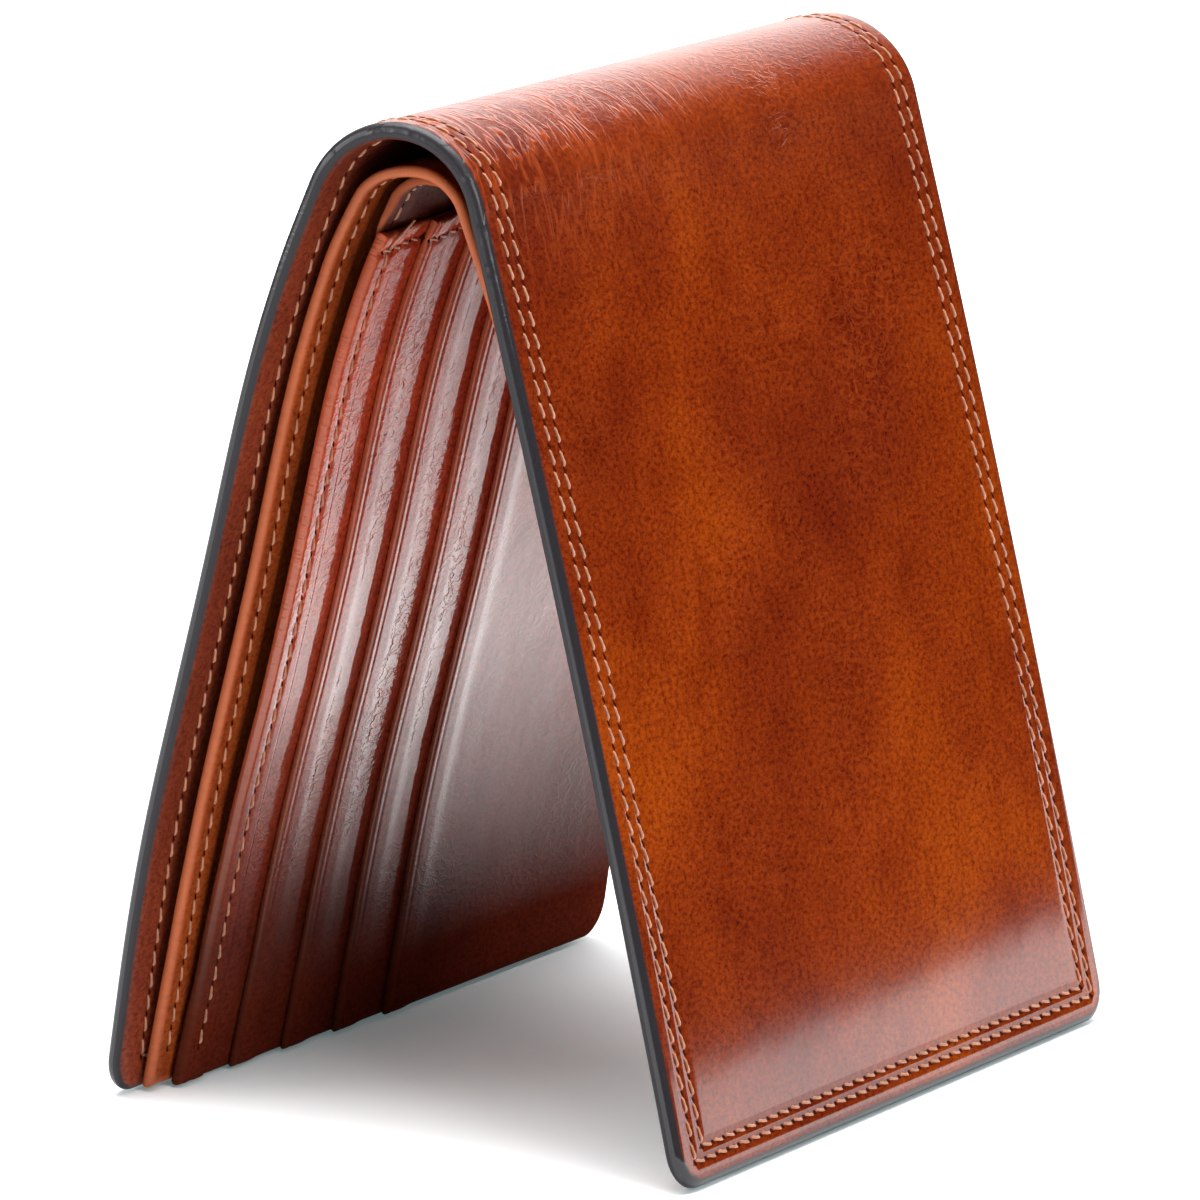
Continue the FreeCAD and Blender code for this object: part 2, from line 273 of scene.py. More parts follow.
class Sheet:
    """One side of a leather sheet, with round edges and optional round corners.

    radius      rounding of the edge
    seat        where the edge ends in the thickness: 0 outer face, 1 inner face
    paint       reach of the edge paint on the outer and on the inner face
    step_back   how far the opening edge draws back beside the pocket stack
    step        size of the grid; fine_s and fine_v add finer bands
    """

    def __init__(self, name, side, s_span, v_span, faces, material, **options):
        self.side = side
        self.s0, self.s1 = s_span
        self.v0, self.v1 = v_span
        self.faces = faces
        self.radius = options.get("radius", 0.5)
        self.seat = options.get("seat", 0.5)
        self.near_corner = options.get("near_corner", 0.0)
        self.far_corner = options.get("far_corner", 0.0)
        self.paint = options.get("paint", (0.0, 0.0))
        self.step_back = options.get("step_back", 0.0)
        self.step = options.get("step", 1.3)
        self.crosses_fold = self.s0 == 0
        self.s_lines = self.make_s_lines(options)
        self.v_lines = self.make_v_lines(options)
        self.object = self.build(name, material)

    def make_s_lines(self, options):
        """Grid lines along the leaf, finer on the crown and at the edges."""
        fine = [CROWN_BAND] + list(options.get("fine_s", ()))
        lines = fill_lines(self.s0, self.s1, self.step, fine)
        bands = [edge_band(self.s1, -1, self.radius)]
        limits = [self.s0 - 1, self.s1 - BAND_REACH * self.radius]
        if self.far_corner:
            bands.append(self.s1 - CORNER_STEPS)
        if not self.crosses_fold:
            bands.append(edge_band(self.s0, 1, self.radius))
            limits[0] = self.s0 + BAND_REACH * self.radius
        middle = lines[(lines > limits[0]) & (lines < limits[1])]
        return self.merged([middle] + bands)

    def make_v_lines(self, options):
        """Grid lines along the fold."""
        lines = fill_lines(self.v0, self.v1, self.step, options.get("fine_v", ()))
        low, high = self.v0 + BAND_REACH * self.radius, self.v1 - BAND_REACH * self.radius
        middle = lines[(lines > low) & (lines < high)]
        return self.merged([
            edge_band(self.v0, 1, self.radius), middle, edge_band(self.v1, -1, self.radius)])

    @staticmethod
    def merged(parts):
        """Sorted lines without near duplicates, both ends kept."""
        lines = np.unique(np.round(np.concatenate(parts), 5))
        gaps = np.diff(lines)
        keep = np.concatenate([[True], gaps > 0.015])
        keep[-1] = True
        return lines[keep]

    def grid(self, s_lines):
        """Flat positions and distance to the edge for rows of the grid."""
        s, v = np.meshgrid(s_lines, self.v_lines, indexing="ij")
        gap = self.s1 - s
        distance = np.minimum(np.minimum(v - self.v0, self.v1 - v), gap)
        if not self.crosses_fold:
            distance = np.minimum(distance, s - self.s0)
        corners = ((self.near_corner, self.v0, 1), (self.far_corner, self.v1, -1))
        for corner, start, way in corners:
            if not corner:
                continue
            inside = np.clip(corner - gap, 0, corner)
            shift = corner - np.sqrt(corner ** 2 - inside ** 2)
            along = (v - start) * way
            fade = 1 - smooth(along / (4 * corner))
            v = v + way * shift * fade
            along = (v - start) * way
            from_centre = np.hypot(corner - gap, corner - along)
            in_corner = (gap < corner) & (along < corner)
            distance = np.where(in_corner, np.minimum(distance + shift, corner - from_centre), distance)
        if self.step_back:
            past = smooth((s - STACK_START + 1) / 3)
            v = v + self.step_back * past * np.clip(1 - (v - self.v0) / 15, 0, 1)
        return s, v, np.maximum(distance, 0)

    def surfaces(self, s, v, distance):
        """Depth of the two faces after the edge is rounded."""
        outer, inner = self.faces(self.side, s, v)
        share = np.clip(distance / self.radius, 0, 1)
        full = np.sqrt(np.clip(1 - (1 - share) ** 2, 0, 1))
        middle = outer + (inner - outer) * self.seat
        return middle + (outer - middle) * full, middle + (inner - middle) * full

    def build(self, name, material):
        """Closed mesh of both faces with UV map, marks and normals."""
        s, v, distance = self.grid(self.s_lines)
        outer, inner = self.surfaces(s, v, distance)
        top = place(self.side, s, v, outer)
        bottom = place(self.side, s, v, inner)
        rows, columns = s.shape
        border = np.zeros(s.shape, bool)
        border[-1, :] = border[:, 0] = border[:, -1] = True
        border[0, :] |= not self.crosses_fold
        top_index = np.arange(rows * columns).reshape(s.shape)
        bottom_index = top_index.copy()
        inside = ~border
        bottom_index[inside] = rows * columns + np.arange(inside.sum())
        verts = np.concatenate([top.reshape(-1, 3), bottom[inside]])
        flip = self.side == "left"
        faces = self.quads(top_index, flip) + self.quads(bottom_index, not flip)
        if self.crosses_fold:
            ends = np.stack([top_index[0], bottom_index[0]])
            faces += self.quads(ends, not flip)
        obj = make_object(name, verts, faces, [material])
        sign = SIGN[self.side]
        uv_top = np.stack([sign * s.ravel(), v.ravel()], 1) / 100
        uv_bottom = np.stack([sign * s[inside], v[inside]], 1) / 100
        add_uv(obj.data, np.concatenate([uv_top, uv_bottom]))
        edge = np.concatenate([distance.ravel(), distance[inside]])
        add_mark(obj.data, "edge", edge)
        add_mark(obj.data, "paint", self.paint_mark(distance, inside))
        self.set_normals(obj, inside)
        return obj

    def paint_mark(self, distance, inside):
        """1 where the edge paint reaches, on the outer and the inner face."""
        marks = []
        for reach, values in zip(self.paint, (distance.ravel(), distance[inside])):
            marks.append(1 - smooth((values - reach) / 0.12 + 0.5) if reach else values * 0)
        return np.concatenate(marks)

    @staticmethod
    def quads(index, flip):
        """Faces of a grid of vertex numbers."""
        a, b, c, d = index[:-1, :-1], index[1:, :-1], index[1:, 1:], index[:-1, 1:]
        order = (a, d, c, b) if flip else (a, b, c, d)
        quads = np.stack([x.ravel() for x in order], 1)
        return [tuple(dict.fromkeys(q)) for q in quads.tolist() if len(set(q)) > 2]

    def face_normals(self, choice, way):
        """Smooth normals of one face; the fold line borrows a row from the other half."""
        lines = self.s_lines
        if self.crosses_fold:
            lines = np.concatenate([[-lines[1]], lines])
        s, v, distance = self.grid(lines)
        points = place(self.side, s, v, self.surfaces(s, v, distance)[choice])
        along = np.gradient(points, lines, axis=0) * SIGN[self.side]
        across = np.gradient(points, self.v_lines, axis=1)
        normal = np.cross(along, across) * way
        normal /= np.linalg.norm(normal, axis=2)[:, :, None] + 1e-15
        return normal[1:] if self.crosses_fold else normal

    def set_normals(self, obj, inside):
        """Normals from the drawn faces, so both halves and both skins shade as one."""
        top, bottom = self.face_normals(0, 1), self.face_normals(1, -1)
        border = ~inside
        if self.seat == 0.0:
            top[border] = bottom[border]
        elif self.seat != 1.0:
            both = top[border] + bottom[border]
            top[border] = both / (np.linalg.norm(both, axis=1)[:, None] + 1e-15)
        if self.crosses_fold:
            top[0, 0], top[0, -1] = top[1, 0], top[1, -1]
        normals = np.concatenate([top.reshape(-1, 3), bottom[inside]])
        obj.data.normals_split_custom_set_from_vertices(normals.tolist())


# ----------------------------------------------------------------- stitches
PITCH = 2.4
STITCH_SHARE = 0.83
THREAD_RADIUS = 0.16
THREAD_SLANT = 0.20
HOLE_SIZE = (0.74, 0.42)
HOLE_SLANT = 0.45


def stitch_cells(first, last):
    """Middle points of the stitches that fit between two ends."""
    count = int(round((last - first) / PITCH))
    pitch = (last - first) / count
    return first + pitch * (np.arange(count) + 0.5), pitch


def thread_shape(length, radius):
    """One stitch around the origin: along, across and height of each vertex."""
    turns = np.linspace(-1, 1, 11)
    angle = np.linspace(0, 2 * np.pi, 9)[:-1]
    tau, phi = np.meshgrid(turns, angle, indexing="ij")
    ply = 1 + 0.13 * np.cos(3 * phi - 5.5 * tau)
    size = radius * ply * np.sqrt(np.clip(1.04 - np.abs(tau) ** 6, 0.04, 1))
    along = tau * length / 2
    across = size * np.cos(phi)
    height = size * np.sin(phi) * 0.85 + radius * (0.55 - 2.3 * np.abs(tau) ** 4)
    faces = []
    for i in range(len(turns) - 1):
        for j in range(8):
            k = (j + 1) % 8
            faces.append((i * 8 + j, i * 8 + k, i * 8 + 8 + k, i * 8 + 8 + j))
    faces.append(tuple(range(7, -1, -1)))
    last = (len(turns) - 1) * 8
    faces.append(tuple(last + j for j in range(8)))
    return along.ravel(), across.ravel(), height.ravel(), faces


def hole_shape(length, width):
    """Flat oval over a needle hole, drawn dark as painted shade for the hole."""
    angle = np.linspace(0, 2 * np.pi, 11)[:-1]
    along = np.append(length / 2 * np.cos(angle), 0)
    across = np.append(width / 2 * np.sin(angle), 0)
    height = np.append(np.full(10, 0.015), 0.03)
    faces = [(i, (i + 1) % 10, 10) for i in range(10)]
    return along, across, height, faces


class StitchRun:
    """A straight run of stitches on one face of a sheet."""

    def __init__(self, side, way, line, first, last, depth, face):
        self.side = side
        self.way = way
        self.line = line
        self.middles, self.pitch = stitch_cells(first, last)
        self.depth = depth
        self.face = face

    def points(self, middle, along, across, height, slant):
        """World positions of shapes repeated at the middles."""
        across = across + along * slant
        q = middle[:, None] + along[None, :]
        e = np.broadcast_to(self.line + across[None, :], q.shape)
        s, v = (q, e) if self.way == "s" else (e, q)
        level = self.depth(self.side, s, v)
        level = level - height if self.face == "out" else level + height
        return place(self.side, s, v, level)


def stitches(name, runs, seed):
    """One object with every stitch of some runs and a dark oval of painted shade at each needle hole."""
    rng = np.random.default_rng(seed)
    verts, faces, materials = [], [], []
    count = 0
    for run in runs:
        shape = thread_shape(run.pitch * STITCH_SHARE, THREAD_RADIUS)
        spots = hole_shape(*HOLE_SIZE)
        jitter = rng.normal(0, 0.06, len(run.middles))
        holes = np.append(run.middles - run.pitch / 2, run.middles[-1] + run.pitch / 2)
        jobs = ((shape, run.middles + jitter, 0, THREAD_SLANT), (spots, holes, 1, HOLE_SLANT))
        for (along, across, height, shape_faces), middles, material, slant in jobs:
            block = run.points(middles, along, across, height, slant)
            mirrored = (run.face == "in") != (run.way == "v")
            mirrored = mirrored != (run.side == "left")
            for k in range(len(middles)):
                base = count + k * len(along)
                for face in shape_faces:
                    moved = [base + i for i in face]
                    faces.append(moved[::-1] if mirrored else moved)
                    materials.append(material)
            verts.append(block.reshape(-1, 3))
            count += len(middles) * len(along)
    obj = make_object(name, np.concatenate(verts), faces, [THREAD, HOLE_SHADE])
    obj.data.polygons.foreach_set("material_index", np.array(materials, np.int32))
    return obj


# ---------------------------------------------------------------- materials
MIX_FACTOR, MIX_A, MIX_B, MIX_RESULT = 0, 6, 7, 2
WHITE = (1, 1, 1)
EDGE_PAINT = (0.022, 0.020, 0.023)
# Painted shade: the colour that the pockets darken to towards the far end by the table.
FAR_END_SHADE = (0.026, 0.006, 0.004)
COAT_ROUGHNESS = 0.065
GRAIN_HEIGHT = 0.00012
CREASE_HEIGHT = 0.00025


class Nodes:
    """Small helper to build a material.  A signal is a (node, output) pair."""

    def __init__(self, name):
        self.material = bpy.data.materials.new(name)
        self.material.use_nodes = True
        self.tree = self.material.node_tree
        self.tree.nodes.clear()
        self.shader = self.add("ShaderNodeBsdfPrincipled")
        self.feed(self.add("ShaderNodeOutputMaterial"), "Surface", (self.shader, "BSDF"))

    def add(self, kind, **settings):
        """New node with its settings."""
        node = self.tree.nodes.new(kind)
        for key, value in settings.items():
            setattr(node, key, value)
        return node

    def feed(self, node, socket, value):
        """Links a signal to a socket, or sets a plain number, vector or colour on it."""
        target = node.inputs[socket]
        if isinstance(value, tuple) and hasattr(value[0], "outputs"):
            source, output = value
            self.tree.links.new(source.outputs[output], target)
        elif target.type == "RGBA":
            target.default_value = (*value, 1)
        else:
            target.default_value = value

    def feed_all(self, node, **values):
        """Feeds several sockets; an underscore stands for a space in their names."""
        for socket, value in values.items():
            self.feed(node, socket.replace("_", " "), value)
        return node

    def flat(self, stretch=(1, 1, 1)):
        """Flat leather coordinates, 1 for each 100 mm."""
        uv = self.add("ShaderNodeUVMap", uv_map="UVMap")
        mapping = self.feed_all(self.add("ShaderNodeMapping"), Vector=(uv, "UV"), Scale=stretch)
        return mapping, "Vector"

    def distances(self, flat):
        """Distance from the fold line and from the opening edge."""
        split = self.feed_all(self.add("ShaderNodeSeparateXYZ"), Vector=flat)
        return self.math("ABSOLUTE", (split, "X")), (split, "Y")

    def mark(self, name):
        """Number stored on the mesh."""
        return self.add("ShaderNodeAttribute", attribute_name=name), "Fac"

    def noise(self, vector, scale, detail=2.0, rough=0.5, distortion=0.0):
        """Noise from 0 to 1."""
        node = self.feed_all(self.add("ShaderNodeTexNoise"), Vector=vector, Scale=scale,
                             Detail=detail, Roughness=rough, Distortion=distortion)
        return node, "Fac"

    def pores(self, vector, scale):
        """Distance from the nearest of many scattered points."""
        node = self.feed_all(self.add("ShaderNodeTexVoronoi"), Vector=vector, Scale=scale)
        return node, "Distance"

    def ramp(self, source, stops):
        """Colour from (position, colour) stops."""
        node = self.add("ShaderNodeValToRGB")
        elements = node.color_ramp.elements
        while len(elements) < len(stops):
            elements.new(0.5)
        for element, (position, colour) in zip(elements, stops):
            element.position = position
            element.color = (*colour, 1)
        self.feed(node, "Fac", source)
        return node, "Color"

    def level(self, source, low, high, start=0.0, stop=1.0):
        """Maps the range from low to high to the range from start to stop."""
        node = self.feed_all(self.add("ShaderNodeMapRange"), Value=source, From_Min=low,
                             From_Max=high, To_Min=start, To_Max=stop)
        return node, "Result"

    def mix(self, kind, factor, a, b):
        """Mixes two colours."""
        node = self.add("ShaderNodeMix", data_type="RGBA", blend_type=kind)
        self.feed(node, MIX_FACTOR, factor)
        self.feed(node, MIX_A, a)
        self.feed(node, MIX_B, b)
        return node, MIX_RESULT

    def math(self, operation, a, b=0.0):
        """Maths on numbers or signals."""
        node = self.add("ShaderNodeMath", operation=operation)
        self.feed(node, 0, a)
        self.feed(node, 1, b)
        return node, "Value"

    def bump(self, height, strength, distance, below=None):
        """Fine relief, on top of another relief if one is given."""
        node = self.feed_all(self.add("ShaderNodeBump"), Height=height, Strength=strength,
                             Distance=distance)
        if below is not None:
            self.feed(node, "Normal", below)
        return node, "Normal"


def contour_lines(n, vector, scale, width):
    """Thin wandering lines, 1 on the line and 0 beside it."""
    waves = n.noise(vector, scale, 2.0, 0.55, 0.6)
    away = n.math("ABSOLUTE", n.math("SUBTRACT", waves, 0.5))
    return n.level(away, 0.0, width, 1.0, 0.0)


def old_creases(n, flat):
    """Crackled patches, and short creases over the fold by the opening edge."""
    patch = n.level(n.noise(flat, 4.2, 2.0, 0.5, 0.4), 0.40, 0.68)
    crackle = n.math("MULTIPLY", contour_lines(n, n.flat((1.0, 0.55, 1.0)), 78, 0.08), patch)
    crackle = n.math("MULTIPLY", crackle, 0.5)
    from_fold, from_edge = n.distances(flat)
    near_fold = n.level(from_fold, 0.08, 0.26, 1.0, 0.0)
    near_edge = n.level(from_edge, 0.20, 0.62, 1.0, 0.0)
    share = n.math("MULTIPLY", near_fold, near_edge)
    bent = n.math("MULTIPLY", contour_lines(n, n.flat((0.30, 0.9, 1.0)), 44, 0.06), share)
    return n.math("MAXIMUM", crackle, bent)


def stained(n, flat, fine, speckle, tones, patch):
    """Stain clouds, blotches, flecks and pores from a dark, a main and a light tone."""
    clouds = n.ramp(n.noise(flat, 2.3, 3.0, 0.5, 0.5), list(zip((0.34, 0.50, 0.66), tones)))
    blotches = n.ramp(n.noise(flat, 12, 5.0, 0.65, 0.3), [
        (0.32, (0.72, 0.58, 0.50)), (0.52, WHITE), (0.72, (1.1, 1.2, 1.0))])
    flecks = n.ramp(speckle, [(0.34, (0.46, 0.34, 0.4)), (0.52, WHITE), (0.70, (1.35, 1.6, 1.2))])
    pores = n.ramp(n.pores(fine, 120), [(0.05, (0.5, 0.4, 0.4)), (0.22, WHITE)])
    colour = n.mix("MULTIPLY", 0.9 * patch, clouds, blotches)
    colour = n.mix("MULTIPLY", 0.85, colour, flecks)
    return n.mix("MULTIPLY", 0.5, colour, pores)


def dull_and_shade_far_end(n, from_fold, coat, colour):
    """Less polish beside the fold and none at the far end, which is also painted darker as painted shade
    towards the table.
    """
    far = n.level(from_fold, 0.70, 1.06, 1.0, 0.0)
    near = n.level(from_fold, 0.15, 0.62, 0.22, 1.0)
    n.feed(n.shader, "Coat Weight", n.math("MULTIPLY", n.math("MULTIPLY", far, near), coat))
    # Painted shade: the colour darkens towards the far end by the table.
    return n.mix("MIX", n.level(from_fold, 0.55, 0.98, 0.0, 0.85), colour, FAR_END_SHADE)


def soften_crown(n, from_fold, surface):
    """Softer gloss over the fold, where the creases stand out."""
    n.feed(n.shader, "Coat Roughness", n.level(from_fold, 0.05, 0.30, 0.36, COAT_ROUGHNESS))
    n.feed(surface[0], "Strength", n.level(from_fold, 0.06, 0.30, 0.45, 0.0))


def leather(name, tones, patch=0.6, rough=0.5, coat=0.5, shine=0.1, swell=0.1, hem=None,
            hem_reach=2.0, creased=False, shaded_dull_end=False, soft_crown=False):
    """Hand stained leather with mottling, pores, fine creases and edge paint, a lighter rolled edge that
    is partly its own colour and partly painted highlight, and painted shade at the far end.
    """
    n = Nodes(name)
    n.feed_all(n.shader, Roughness=rough, Coat_Weight=coat, Coat_Roughness=COAT_ROUGHNESS,
               Specular_IOR_Level=shine)
    flat = n.flat()
    fine = n.flat((1.0, 0.6, 1.0))
    from_fold, _ = n.distances(flat)
    speckle = n.noise(fine, 200, 2.5, 0.75, 0.1)
    colour = stained(n, flat, fine, speckle, tones, patch)
    grain = n.bump(speckle, 0.55, GRAIN_HEIGHT)
    surface = n.bump(speckle, 0.3 * swell, GRAIN_HEIGHT)
    surface = n.bump(n.noise(flat, 9, 3.0, 0.55), swell, 0.0012, surface)
    if creased:
        lines = old_creases(n, flat)
        worn = tuple(1.55 * c + 0.008 for c in tones[-1])
        colour = n.mix("MIX", n.math("MULTIPLY", lines, 0.5), colour, worn)
        grain = n.bump(lines, 0.5, CREASE_HEIGHT, grain)
        surface = n.bump(lines, 0.02 + swell, CREASE_HEIGHT, surface)
    # The lighter rolled edge is partly the turned leather's own colour and partly a painted highlight on
    # the lit ridge.
    if hem is not None:
        hem_tone_and_highlight = n.level(n.mark("edge"), 0.1, 1.0, 0.75, 0.0)
        kept = n.level(from_fold, hem_reach - 0.02, hem_reach, 1.0, 0.0)
        colour = n.mix("MIX", n.math("MULTIPLY", hem_tone_and_highlight, kept), colour, hem)
    if shaded_dull_end:
        colour = dull_and_shade_far_end(n, from_fold, coat, colour)
    if soft_crown:
        soften_crown(n, from_fold, surface)
    colour = n.mix("MIX", n.mark("paint"), colour, EDGE_PAINT)
    n.feed_all(n.shader, Base_Color=colour, Normal=grain, Coat_Normal=surface)
    return n.material


def thread_material(name, colour):
    """Waxed thread with a soft sheen."""
    n = Nodes(name)
    fibre = n.noise((n.add("ShaderNodeTexCoord"), "Object"), 900, 2.0, 0.6)
    tone = n.ramp(fibre, [(0.3, tuple(0.6 * c for c in colour)), (0.7, colour)])
    n.feed_all(n.shader, Base_Color=tone, Roughness=0.55, Sheen_Weight=0.25)
    return n.material


def hole_shade_material(name, colour):
    """Painted shade for a needle hole: a dull, nearly black colour."""
    n = Nodes(name)
    n.feed_all(n.shader, Base_Color=colour, Roughness=0.8, Specular_IOR_Level=0.0)
    return n.material


COVER = leather("cover_leather", ((0.122, 0.0115, 0.002), (0.172, 0.0200, 0.002), (0.245, 0.0365, 0.002)),
                patch=0.85, coat=0.7, shine=0.0, swell=0.008, creased=True, soft_crown=True)
LINING = leather("lining_leather", ((0.10, 0.017, 0.008), (0.15, 0.025, 0.010), (0.20, 0.034, 0.013)),
                 rough=0.6, coat=0.15)
DIVIDER = leather("divider_leather", ((0.14, 0.024, 0.005), (0.21, 0.036, 0.007), (0.28, 0.050, 0.009)),
                  rough=0.55, coat=0.2, hem=(0.44, 0.11, 0.040))
# The inner wall's tones are much darker than the other leathers: painted shade for the dark hollow under
# the crown. Its lighter hem stops beside the fold, at hem_reach, where its ridge is lit: a painted
# highlight.
WALL = leather("wall_leather", ((0.05, 0.009, 0.005), (0.08, 0.014, 0.008), (0.12, 0.022, 0.012)),
               rough=0.7, coat=0.0, hem=(0.36, 0.09, 0.034), hem_reach=0.18)
POCKET = leather("pocket_leather", ((0.28, 0.034, 0.014), (0.42, 0.051, 0.020), (0.54, 0.073, 0.027)),
                 patch=0.8, coat=1.0, shine=0.0, swell=0.2, hem=(0.34, 0.075, 0.030),
                 creased=True, shaded_dull_end=True)
THREAD = thread_material("thread", (0.49, 0.195, 0.090))
# Painted shade: the dark ovals stand in for the shade inside the needle holes.
HOLE_SHADE = hole_shade_material("needle_hole_shade", (0.03, 0.006, 0.003))


# -------------------------------------------------------------- the leather
def cover_faces(side, s, v):
    """Depth of both faces of the cover, pressed in under its two rows."""
    outer_row, inner_row = (stitch_groove(row, side, s, v) for row in ROWS.values())
    return 0.08 * np.maximum(outer_row, inner_row), np.full(np.shape(s), 0.97)


def lining_faces(side, s, v):
    """Depth of both faces of the cover lining."""
    return np.full(np.shape(s), 0.99), 1.80 - 0.10 * stitch_groove(LINING_ROW, side, s, v)


def turned_edge(inset, v):
    """1 over the turned part of a hem, 0 past it."""
    return 1 - smooth((v - inset - HEM_WIDTH) / 1.2)


def hem_groove(inset, v):
    """Share of the groove under the stitches of a hem."""
    return ridge(v - inset - HEM_ROW, 0.40)


def divider_faces(side, s, v):
    """Depth of both faces of the divider."""
    outer = divider_depth(side, s, v)
    hem = turned_edge(DIVIDER_INSET, v)
    groove = 0.12 * hem_groove(DIVIDER_INSET, v)
    return outer + groove - 0.05 * hem, outer + 0.95 + 0.20 * hem - groove


def wall_faces(side, s, v):
    """Depth of both faces of the inner wall; its hem ends under the pocket panel."""
    outer = wall_depth(side, s, v)
    hem = turned_edge(PANEL_INSET, v) * (1 - smooth((s - STACK_START + 4) / 4))
    groove = 0.10 * hem_groove(PANEL_INSET, v) * hem
    return outer, outer + 0.60 + 0.45 * hem - groove


def panel_faces(side, s, v):
    """Depth of both faces of the pocket panel, wrapped around the inner wall."""
    outer = panel_depth(side, s, v)
    hem = turned_edge(PANEL_INSET, v)
    groove = 0.14 * hem_groove(PANEL_INSET, v)
    side_groove = 0.30 * ridge(s - SIDE_ROW, 0.5)
    wrapped = 0.35 * (1 - smooth((v - PANEL_INSET - 0.6) / 0.6))
    return outer - wrapped, outer + 0.58 + 0.45 * hem - groove - side_groove


def slot_inset(number):
    """Distance of a pocket's slot edge from the opening edge."""
    return SLOT_INSET + SLOT_PITCH * (number - 1)


def pocket_faces(number):
    """Both faces of a card pocket; its slot edge is turned and creased."""
    inset = slot_inset(number)

    def faces(side, s, v):
        hidden = pocket_depth(number, side, s, v)
        turned = 1 - smooth((v - inset - 3.2) / 3.0)
        crease = 0.10 * ridge(v - inset - 1.15, 0.22)
        side_groove = 0.20 * ridge(s - SIDE_ROW, 0.5)
        return hidden, hidden + 0.54 + 0.36 * turned - crease - side_groove
    return faces


# ------------------------------------------------------- bodies and CAD nodes
BLEND_ARC = 15.5
COVER_BEND = {"left": 0.5, "right": 0.5}
LINING_BEND = {"left": 1.4, "right": 1.4}
DIVIDER_BEND = {"left": 3.4, "right": 4.6}
WALL_BEND = {"left": 6.0, "right": 5.8}


def bend(piece, side, depth):
    """Bakes the piece's transform into its mesh; the point at BLEND_ARC is worked out but not used."""
    end = place(side, np.array(BLEND_ARC), np.array(WIDTH / 2), np.array(depth))
    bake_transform(piece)


def finish_piece(piece, side, nodes, bend_depths=None):
    """Ties a piece to its leaf's body, or only bakes its transform when bend depths are given, and hides
    its CAD nodes.
    """
    if bend_depths is None:
        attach(piece, side + "_leaf")
    else:
        bend(piece, side, bend_depths[side])
    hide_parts(*nodes)


# ---------------------------------------------------------------- the sheets
# Fine grid bands: centre, half width and step, or only the last two.
FINE_SIDE_ROW = [(SIDE_ROW, 1.0, 0.25)]
ROW_BAND = (0.95, 0.24)
END_BAND = (1.8, 0.24)


def add_shell(side):
    """Cover and lining, from the fold to the table."""
    fine_v = []
    for along_edge, _ in ROWS.values():
        fine_v += [(along_edge, *ROW_BAND), (WIDTH - along_edge, *ROW_BAND)]
    shell = dict(radius=0.93, near_corner=CORNER, far_corner=CORNER, step=1.1,
                 fine_v=fine_v, fine_s=[(END[side] - 3.55, *END_BAND)])
    span = (0, SHELL_END[side])
    cover = Sheet(side + "_cover_leather", side, span, (0, WIDTH), cover_faces, COVER,
                  seat=1.0, paint=(0.95, 9.0), **shell)
    finish_piece(cover.object, side, [side + "_cover", "spine_cover"], COVER_BEND)
    lining = Sheet(side + "_lining_leather", side, span, (0, WIDTH), lining_faces, LINING,
                   seat=0.0, paint=(9.0, 0.45), **shell)
    finish_piece(lining.object, side,
                 [side + "_cover_lining", "spine_cover_lining"], LINING_BEND)


def fine_hem(inset):
    """Fine grid band over a hem."""
    return [(inset + 3, 3, 0.3)]


def add_layers(side):
    """Divider, inner wall and pocket panel."""
    last = INNER_END[side]
    divider = Sheet(side + "_divider_leather", side, (0, last), (DIVIDER_INSET, WIDTH - 0.3),
                    divider_faces, DIVIDER, radius=0.55, far_corner=CORNER,
                    fine_v=fine_hem(DIVIDER_INSET))
    finish_piece(divider.object, side, [side + "_divider", "spine_divider"],
                 DIVIDER_BEND)
    wall = Sheet(side + "_inner_wall_leather", side, (0, last), (PANEL_INSET, WIDTH - 0.35),
                 wall_faces, WALL, radius=0.45, far_corner=CORNER, step_back=1.1,
                 fine_v=fine_hem(PANEL_INSET))
    finish_piece(wall.object, side, [side + "_inner_wall", "spine_inner_wall"],
                 WALL_BEND)
    panel = Sheet(side + "_panel_leather", side, (STACK_START, last), (PANEL_INSET, WIDTH - 0.4),
                  panel_faces, POCKET, radius=0.52, far_corner=CORNER,
                  fine_v=fine_hem(PANEL_INSET), fine_s=FINE_SIDE_ROW)
    finish_piece(panel.object, side, [side + "_top_panel"])


def add_pockets(side):
    """Card pockets; the last one reaches the far edge."""
    for number in POCKETS:
        inset = slot_inset(number)
        is_last = number == POCKETS[-1]
        far = WIDTH - 0.45 if is_last else inset + POCKET_HEIGHT
        s_span = (STACK_START - 0.12 * number, INNER_END[side] - 0.1 * number)
        pocket = Sheet("%s_pocket_%d_leather" % (side, number), side, s_span, (inset, far),
                       pocket_faces(number), POCKET, radius=0.42,
                       far_corner=CORNER if is_last else 0.0,
                       fine_v=[(inset + 1.6, 1.6, 0.2)], fine_s=FINE_SIDE_ROW)
        finish_piece(pocket.object, side, ["%s_card_pocket_%d" % (side, number)])


for leaf in SIGN:
    add_shell(leaf)
    add_layers(leaf)
    add_pockets(leaf)


# --------------------------------------------------------------- the thread
SEEDS = {"outer": 10, "inner": 11, "divider": 20, "wall": 21, "panel": 22, "cross": 23}


def face_depth(faces, choice):
    """Depth function of one face of a sheet."""
    return lambda side, s, v: faces(side, s, v)[choice]


def around(side, row, depth, face):
    """Stitch runs along both long edges and the free end of a leaf."""
    along_edge, along_end = row
    last = END[side] - along_end
    return [
        StitchRun(side, "s", along_edge, 0, last, depth, face),
        StitchRun(side, "s", WIDTH - along_edge, 0, last, depth, face),
        StitchRun(side, "v", last, along_edge, WIDTH - along_edge, depth, face)]


